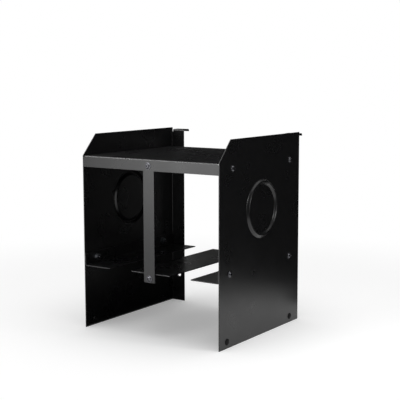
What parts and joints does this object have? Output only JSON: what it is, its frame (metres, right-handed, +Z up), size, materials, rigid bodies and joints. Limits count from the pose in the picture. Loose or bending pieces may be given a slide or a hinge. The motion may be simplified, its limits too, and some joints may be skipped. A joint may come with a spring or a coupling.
{
  "type": "power tool organizer",
  "caption": "Wall-hung steel organizer: a bent-sheet shelf between two flanged side panels, with hanging rails below that form slots for power tools.",
  "frame": {"origin": "centre of the base: middle of the width and of the overall depth, in the plane of the side panels' bottom edges", "axes": "+Z up, -Y towards the front, +X to the right as seen from the front, +Y towards the wall"},
  "size_m": [0.314, 0.3052, 0.368],
  "materials": {
    "powder_coat": "satin black powder coat with a fine texture",
    "black_screw": "black zinc plate, glossy",
    "zinc_nut": "bright zinc plate",
    "black_plug": "moulded black polyethylene, matt"
  },
  "bodies": {
    "root": {"left_side_panel": "powder_coat", "right_side_panel": "powder_coat", "top_shelf": "powder_coat", "left_rail": "powder_coat", "right_rail": "powder_coat", "center_rail": "powder_coat", "front_strap": "powder_coat", "rear_strap": "powder_coat", "left_shelf_screws": "black_screw", "left_shelf_nuts": "zinc_nut", "right_shelf_screws": "black_screw", "right_shelf_nuts": "zinc_nut", "left_rail_screws": "black_screw", "left_rail_nuts": "zinc_nut", "right_rail_screws": "black_screw", "right_rail_nuts": "zinc_nut", "front_strap_top_screw": "black_screw", "front_strap_top_nut": "zinc_nut", "front_strap_foot_screw": "black_screw", "front_strap_foot_nut": "zinc_nut", "rear_strap_top_screw": "black_screw", "rear_strap_top_nut": "zinc_nut", "rear_strap_foot_screw": "black_screw", "rear_strap_foot_nut": "zinc_nut", "left_side_plugs": "black_plug", "right_side_plugs": "black_plug"}
  },
  "joints": []
}
